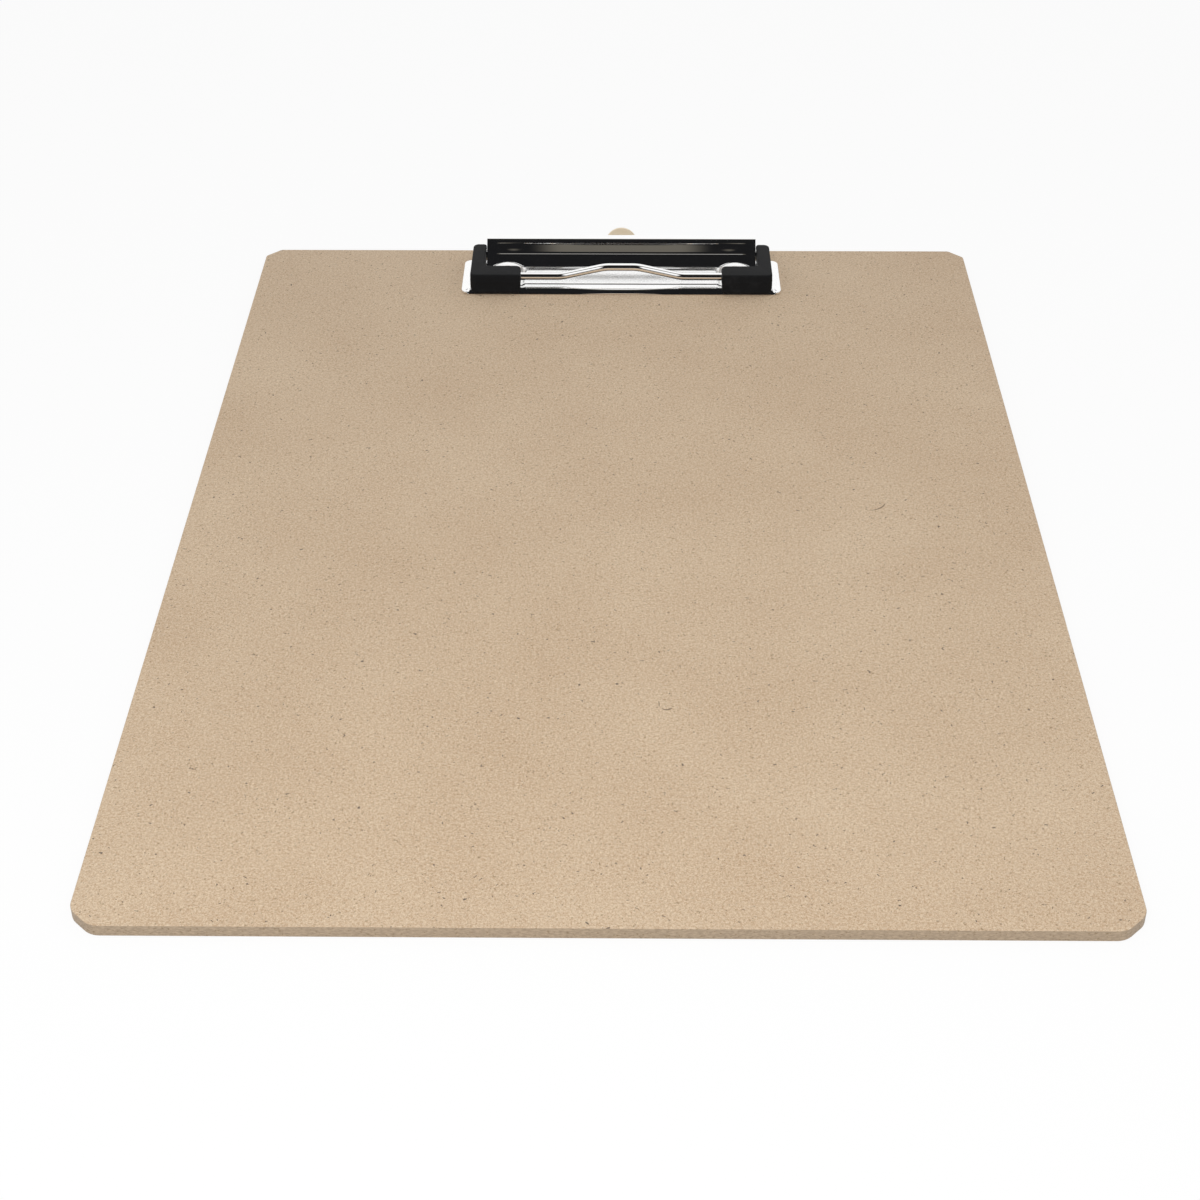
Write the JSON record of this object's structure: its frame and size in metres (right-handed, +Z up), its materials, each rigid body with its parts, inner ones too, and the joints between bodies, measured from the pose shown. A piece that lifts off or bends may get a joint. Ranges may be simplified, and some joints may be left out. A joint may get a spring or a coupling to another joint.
{
  "type": "clipboard",
  "caption": "Letter-size hardboard clipboard with a low sprung wire clip, rubber grip corners, a grooved plated lever and a pull-out hanging strip.",
  "frame": {"origin": "centre of the board's underside", "axes": "+X across the board to the right, +Y along the board towards the clip, +Z up through the board's writing face"},
  "size_m": [0.2286, 0.32, 0.0122],
  "materials": {
    "hardboard": "matte",
    "plated_steel": "polished",
    "spring_steel": "satin",
    "black_rubber": "satin"
  },
  "bodies": {
    "base": {"board": "hardboard", "base_plate": "plated_steel", "rivet_left": "plated_steel", "rivet_right": "plated_steel", "rivet_washer_left": "spring_steel", "rivet_washer_right": "spring_steel", "spring_left": "spring_steel", "spring_right": "spring_steel"},
    "jaw": {"lever": "plated_steel", "bail": "plated_steel", "grip_left": "black_rubber", "grip_right": "black_rubber"},
    "hanger": {"hanger": "plated_steel"}
  },
  "joints": [
    {"name": "jaw_hinge", "type": "hinge", "parent": "base", "child": "jaw", "pos_m": [0.0023, 0.14895, 0.0071], "axis": [-1, 0, 0], "range_deg": [0, 55], "stiffness_Nm_per_rad": 0.08, "springref_deg": -45.84, "deforming": ["spring_left", "spring_right"]},
    {"name": "hanger_slide", "type": "slide", "parent": "base", "child": "hanger", "axis": [0, 1, 0], "range_m": [0, 0.012]}
  ]
}
